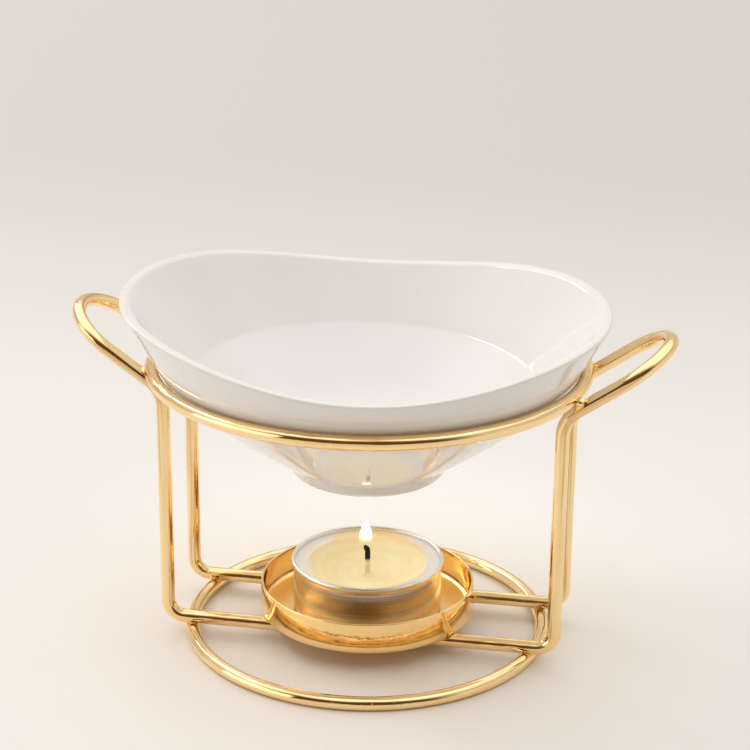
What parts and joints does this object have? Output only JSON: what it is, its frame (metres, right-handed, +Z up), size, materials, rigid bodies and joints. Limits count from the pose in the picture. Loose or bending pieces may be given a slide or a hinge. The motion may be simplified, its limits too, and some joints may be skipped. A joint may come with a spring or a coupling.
{
  "type": "essential oil burner",
  "caption": "Oil burner with a loose white ceramic bowl on a gold wire stand, a tray below for a tealight and a wire handle at each side.",
  "frame": {"origin": "on the table, at the centre of the base ring", "axes": "+X through the right handle, +Y away from the viewer, +Z up"},
  "size_m": [0.1472, 0.1114, 0.0876],
  "materials": {
    "gold_plated_steel": "mirror-bright gold plating on steel wire and sheet",
    "white_glaze": "smooth glossy white glaze",
    "cup_foil": "drawn aluminium foil, satin",
    "candle_wax": "pale yellow wax with a melted pool",
    "cotton_wick": "cotton, charred black at the top",
    "tinned_steel": "thin tinned sheet"
  },
  "bodies": {
    "stand": {"base_ring": "gold_plated_steel", "left_side_wire": "gold_plated_steel", "right_side_wire": "gold_plated_steel", "bowl_ring": "gold_plated_steel", "candle_tray": "gold_plated_steel", "base_ring_welds": "gold_plated_steel", "bowl_ring_welds": "gold_plated_steel", "tray_welds": "gold_plated_steel"},
    "tealight": {"tealight_cup": "cup_foil", "tealight_wax": "candle_wax", "wick": "cotton_wick", "wick_sustainer": "tinned_steel"},
    "bowl": {"bowl": "white_glaze"}
  },
  "joints": [
    {"name": "tealight_lift", "type": "slide", "parent": "stand", "child": "tealight", "axis": [0, 0, 1], "range_m": [0, 0.013]},
    {"name": "bowl_lift", "type": "slide", "parent": "stand", "child": "bowl", "axis": [0, 0, 1], "range_m": [0, 0.06]}
  ]
}
